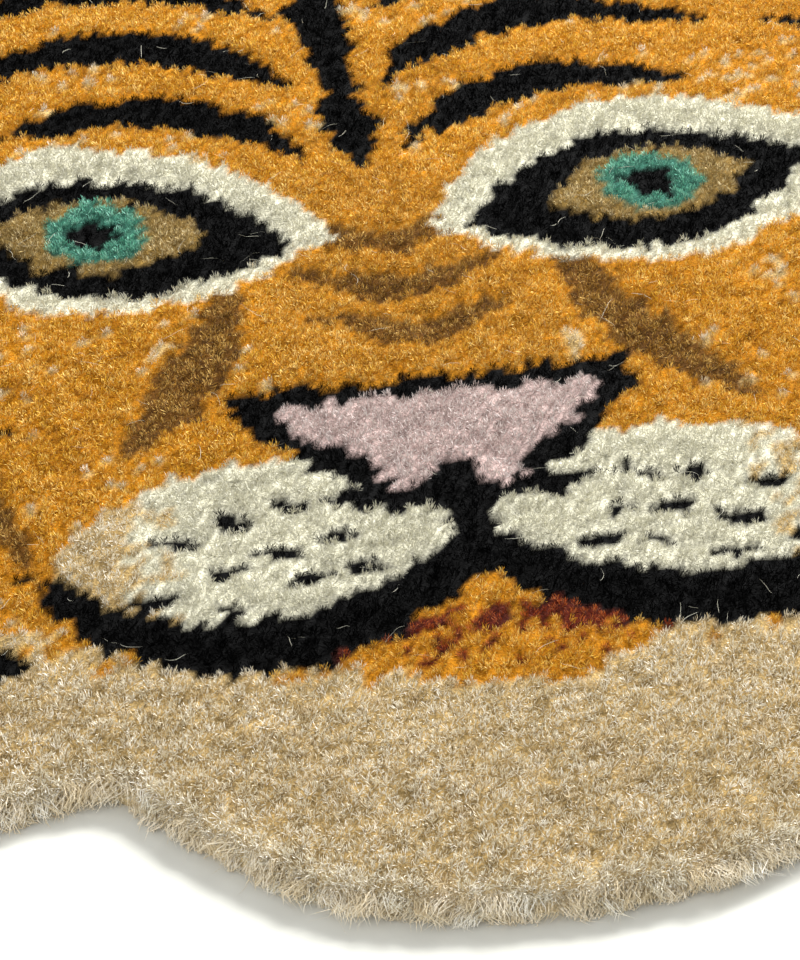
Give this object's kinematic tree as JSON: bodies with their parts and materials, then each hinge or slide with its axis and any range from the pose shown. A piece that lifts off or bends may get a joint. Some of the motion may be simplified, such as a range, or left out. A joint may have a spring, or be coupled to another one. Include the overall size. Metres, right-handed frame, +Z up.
{
  "type": "tiger head rug",
  "caption": "Flat hand-tufted wool rug in the outline of a tiger's head, with a dense cut pile in yarns of different colours and a shaggy edge, for a floor or a wall.",
  "frame": {"origin": "on the floor, under the middle of the rug's outline box", "axes": "+Z up out of the pile, the chin towards -Y, the ears towards +Y, X across the face"},
  "size_m": [0.724, 0.6922, 0.015],
  "materials": {
    "ground": "matte",
    "pile_ochre": "matte",
    "pile_black": "matte",
    "pile_ivory": "matte",
    "pile_beige": "matte",
    "pile_brown": "matte",
    "pile_pink": "matte",
    "pile_teal": "matte",
    "pile_tan": "matte",
    "pile_rust": "matte"
  },
  "bodies": {
    "root": {"rug": "ground"}
  },
  "joints": []
}
